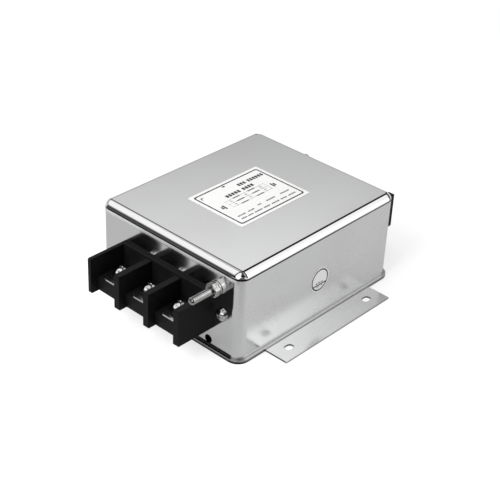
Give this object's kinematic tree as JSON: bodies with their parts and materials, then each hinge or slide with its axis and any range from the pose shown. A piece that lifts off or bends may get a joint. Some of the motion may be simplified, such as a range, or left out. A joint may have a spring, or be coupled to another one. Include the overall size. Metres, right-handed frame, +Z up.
{
  "type": "emi line filter",
  "caption": "Boxed steel mains filter on a slotted base plate, with a barrier terminal block at each end, an earth bolt, and a choke and capacitors inside.",
  "frame": {"origin": "centre of the part's box, on the plane of the base plate's underside", "axes": "+X from the line end to the load end, +Y across the poles towards pole 1, +Z up out of the mounting panel"},
  "size_m": [0.251, 0.197, 0.0772],
  "materials": {
    "bright_steel": "bright tinned sheet, softly mirrored",
    "plate_steel": "plated sheet, satin",
    "black_moulding": "satin moulding",
    "plated_bar": "tinned, bright",
    "screw_plating": "bright nickel plating",
    "washer_plating": "nickel plating",
    "nickel_hardware": "nickel plating",
    "label_foil": "silk foil with a thin printed border",
    "sticker_foil": "silver foil with a thin printed ring",
    "film": "thin polyester film",
    "core_coating": "epoxy coating",
    "tie_nylon": "natural nylon",
    "enamelled_copper": "copper under clear enamel",
    "tinned_lug": "tinned copper",
    "pillar_brass": "bare brass",
    "board_laminate": "green lacquered laminate",
    "yellow_film": "moulded box",
    "blue_film": "moulded box",
    "resistor_body": "lacquered body"
  },
  "bodies": {
    "root": {"case_can": "bright_steel", "base_plate": "plate_steel", "insulating_sheet": "film", "rating_label": "label_foil", "round_sticker": "sticker_foil", "line_terminal_block": "black_moulding", "load_terminal_block": "black_moulding", "line_terminal_bar_1": "plated_bar", "line_terminal_bar_2": "plated_bar", "line_terminal_bar_3": "plated_bar", "load_terminal_bar_1": "plated_bar", "load_terminal_bar_2": "plated_bar", "load_terminal_bar_3": "plated_bar", "terminal_screws": "screw_plating", "terminal_split_washers": "washer_plating", "terminal_flat_washers": "washer_plating", "terminal_nuts": "nickel_hardware", "earth_bolt": "nickel_hardware", "earth_back_nut": "nickel_hardware", "earth_flat_washers": "washer_plating", "earth_split_washer": "washer_plating", "earth_front_nut": "nickel_hardware", "block_screws": "screw_plating", "block_nuts": "nickel_hardware", "choke_core": "core_coating", "choke_winding_1": "enamelled_copper", "choke_winding_2": "enamelled_copper", "choke_winding_3": "enamelled_copper", "choke_saddle": "black_moulding", "choke_tie": "tie_nylon", "winding_lugs": "tinned_lug", "lug_screws": "screw_plating", "bus_pillars": "pillar_brass", "line_capacitor_board": "board_laminate", "load_capacitor_board": "board_laminate", "board_spacers": "nickel_hardware", "board_screws": "screw_plating", "line_x_capacitor_1": "yellow_film", "line_x_capacitor_2": "yellow_film", "line_x_capacitor_3": "yellow_film", "load_x_capacitor_1": "yellow_film", "load_x_capacitor_2": "yellow_film", "load_x_capacitor_3": "yellow_film", "y_capacitor_1": "blue_film", "y_capacitor_2": "blue_film", "y_capacitor_3": "blue_film", "bleed_resistor_1": "resistor_body", "bleed_resistor_2": "resistor_body", "bleed_resistor_3": "resistor_body"}
  },
  "joints": []
}
